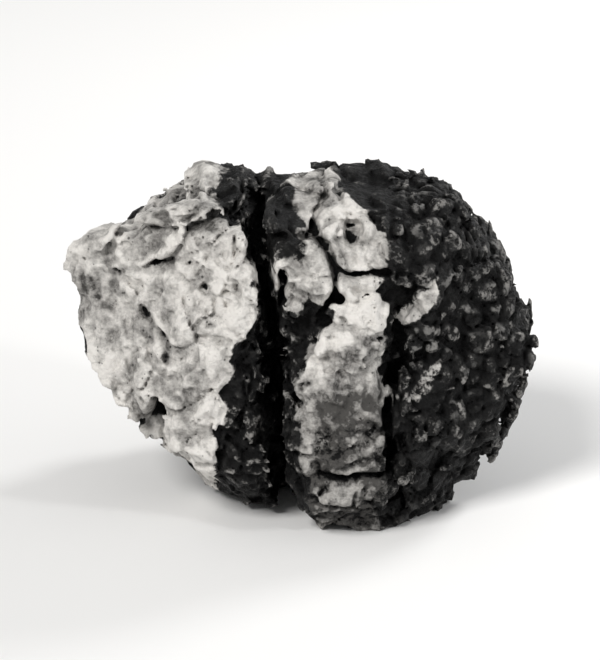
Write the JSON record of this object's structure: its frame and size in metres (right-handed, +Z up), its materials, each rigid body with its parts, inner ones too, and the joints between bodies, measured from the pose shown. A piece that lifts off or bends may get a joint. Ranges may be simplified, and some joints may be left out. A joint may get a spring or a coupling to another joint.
{
  "type": "charcoal lump",
  "caption": "Angular lump of natural hardwood charcoal with broken end grain, a deep drying cleft, a knobbly bark side and a pale ash film; fuel for a grill or brazier.",
  "frame": {"origin": "middle of the lump's box, at its base, on the surface that it rests on", "axes": "+Z up, +Y along the wood grain from the ashy front break to the back break, +X towards the round bark side"},
  "size_m": [0.072, 0.054, 0.051],
  "materials": {
    "char": "dry matte black char with faint glossy flecks, and a pale warm grey ash film on the front breaks"
  },
  "bodies": {
    "root": {"charcoal_lump": "char"}
  },
  "joints": []
}
